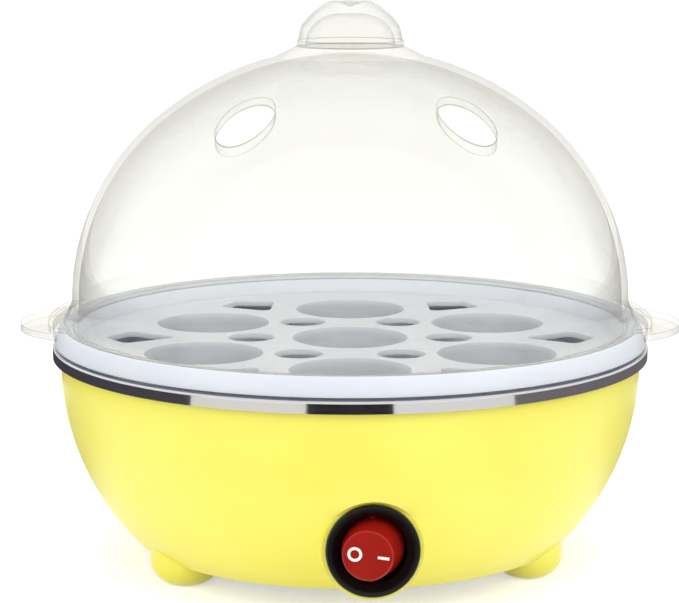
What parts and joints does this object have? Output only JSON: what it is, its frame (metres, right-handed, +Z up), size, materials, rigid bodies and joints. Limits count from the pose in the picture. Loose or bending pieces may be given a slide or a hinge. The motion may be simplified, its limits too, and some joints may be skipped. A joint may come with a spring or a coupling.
{
  "type": "electric egg cooker",
  "caption": "Countertop egg cooker: clear domed lid with knob, ears and steam vents over a pierced egg tray, on a steel water pan in a bowl-shaped housing with a rocker switch.",
  "frame": {"origin": "middle of the table area under the cooker, on the table plane that the feet rest on", "axes": "+Z up along the axis of the round body; -Y towards the rocker switch at the front; +X to the right, along the lid's two ears"},
  "size_m": [0.1766, 0.159, 0.1492],
  "materials": {
    "clear_plastic": "clear moulded, polished",
    "white_plastic": "satin moulded",
    "polished_steel": "mirror polished",
    "yellow_plastic": "gloss moulded",
    "grey_plastic": "fine textured",
    "black_plastic": "satin moulded",
    "red_plastic": "gloss moulded",
    "black_rubber": "matt",
    "aluminium": "as cast",
    "plated_steel": "zinc plated",
    "brass": "tinned or plain, satin",
    "phenolic": "moulded",
    "natural_nylon": "moulded",
    "glass_fibre": "braided sleeve",
    "brown_insulation": "smooth",
    "blue_insulation": "smooth",
    "white_insulation": "smooth"
  },
  "bodies": {
    "base": {"heating_pan": "polished_steel", "pan_studs": "plated_steel", "housing": "yellow_plastic", "bottom_cover": "grey_plastic", "cover_screws": "plated_steel", "heater_plate": "aluminium", "heater_terminals": "plated_steel", "pan_bridge": "plated_steel", "bridge_washers": "plated_steel", "bridge_nuts": "plated_steel", "thermostat_cap": "aluminium", "thermostat_flange": "plated_steel", "thermostat_body": "phenolic", "thermostat_terminals": "brass", "thermostat_screws": "plated_steel", "thermal_fuse": "aluminium", "fuse_sleeve": "glass_fibre", "fuse_clip": "plated_steel", "fuse_clip_screw": "plated_steel", "terminal_block": "natural_nylon", "terminal_inserts": "brass", "clamp_screws": "plated_steel", "block_screw": "plated_steel", "spade_receptacles": "brass", "live_lead": "brown_insulation", "switched_lead": "brown_insulation", "fuse_feed_lead": "white_insulation", "heater_feed_lead": "white_insulation", "neutral_lead": "blue_insulation", "cord_gland": "black_rubber", "switch_body": "black_plastic", "switch_terminals": "brass"},
    "tray": {"egg_tray": "white_plastic"},
    "lid": {"lid": "clear_plastic", "lid_knob": "clear_plastic"},
    "rocker": {"switch_rocker": "red_plastic", "switch_plunger": "natural_nylon", "switch_spring": "plated_steel"},
    "contact_bridge": {"contact_bridge": "brass"}
  },
  "joints": [
    {"name": "tray_lift", "type": "slide", "parent": "base", "child": "tray", "axis": [0, 0, 1], "range_m": [0, 0.1]},
    {"name": "lid_lift", "type": "slide", "parent": "tray", "child": "lid", "axis": [0, 0, 1], "range_m": [0, 0.12]},
    {"name": "rocker_tilt", "type": "hinge", "parent": "base", "child": "rocker", "pos_m": [0, -0.06901, 0.0206], "axis": [0, 0, 1], "range_deg": [0, 24]},
    {"name": "bridge_tilt", "type": "hinge", "parent": "base", "child": "contact_bridge", "pos_m": [0, -0.06011, 0.0206], "axis": [0, 0, 1], "range_deg": [-12, 0]}
  ],
  "couplings": [
    {"joint": "bridge_tilt", "follows": "rocker_tilt", "ratio": -0.5}
  ]
}
